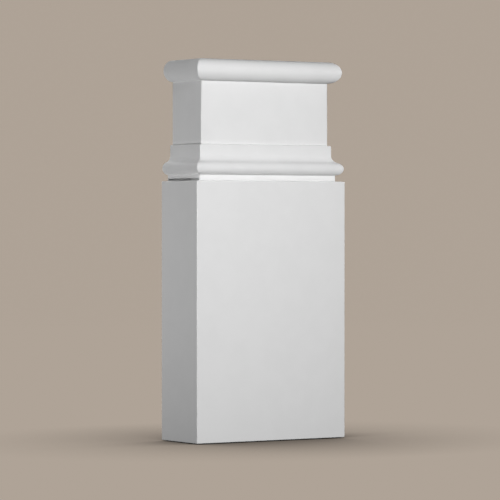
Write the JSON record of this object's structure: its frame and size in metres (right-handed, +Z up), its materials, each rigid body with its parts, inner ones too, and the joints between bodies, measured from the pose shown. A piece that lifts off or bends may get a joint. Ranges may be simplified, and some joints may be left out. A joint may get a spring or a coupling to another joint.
{
  "type": "door casing plinth block",
  "caption": "Moulded plinth block for the foot of a door casing: tall plain block, bead, cavetto, plain neck and half-round cap, returned on both sides, with a flat back and a flat top.",
  "frame": {"origin": "middle of the underside's rectangle, on the floor", "axes": "+Z up, -Y out of the wall towards the room, +Y into the wall behind, +X to the right seen from the front"},
  "size_m": [0.116, 0.044, 0.25],
  "materials": {
    "white_primer": "matt white primer on the smooth skin of a moulded rigid foam"
  },
  "bodies": {
    "root": {"plinth_block": "white_primer"}
  },
  "joints": []
}
